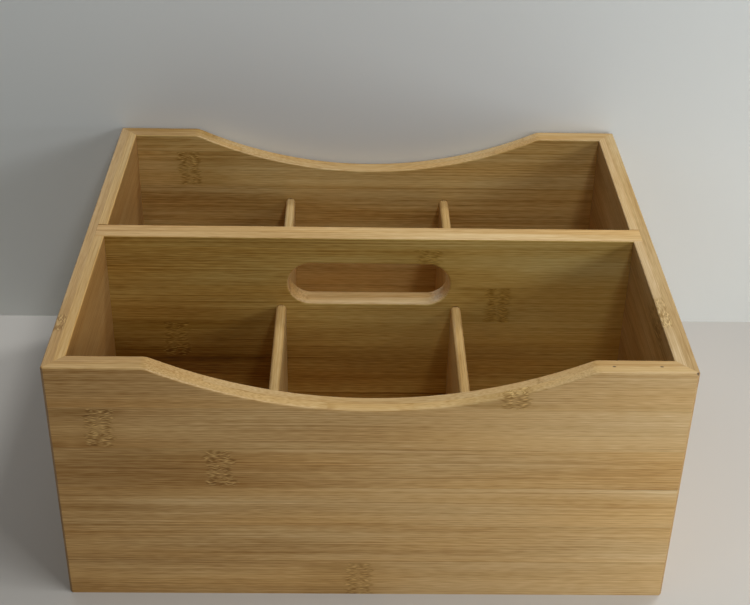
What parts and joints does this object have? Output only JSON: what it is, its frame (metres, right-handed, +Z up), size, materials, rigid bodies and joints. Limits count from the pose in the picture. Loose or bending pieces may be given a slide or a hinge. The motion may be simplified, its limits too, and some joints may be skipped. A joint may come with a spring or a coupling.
{
  "type": "desk organizer caddy",
  "caption": "Open-topped bamboo desk caddy with a scooped front and back, a centre panel with a hand slot, and low dividers that make storage compartments.",
  "frame": {"origin": "middle of the base, on the surface that the caddy stands on", "axes": "+X along the width, to the right as seen from the front; +Y from the front panel to the back panel; +Z up"},
  "size_m": [0.32, 0.26, 0.15],
  "materials": {
    "scooped_wall": "satin clear-coated flat-pressed bamboo",
    "side_wall": "satin clear-coated flat-pressed bamboo",
    "floor_board": "satin clear-coated flat-pressed bamboo",
    "centre_board": "satin clear-coated flat-pressed bamboo",
    "divider_board": "satin clear-coated flat-pressed bamboo"
  },
  "bodies": {
    "root": {"front_panel": "scooped_wall", "back_panel": "scooped_wall", "left_side_panel": "side_wall", "right_side_panel": "side_wall", "bottom_panel": "floor_board", "centre_panel": "centre_board", "front_left_divider": "divider_board", "front_right_divider": "divider_board", "back_left_divider": "divider_board", "back_right_divider": "divider_board"}
  },
  "joints": []
}
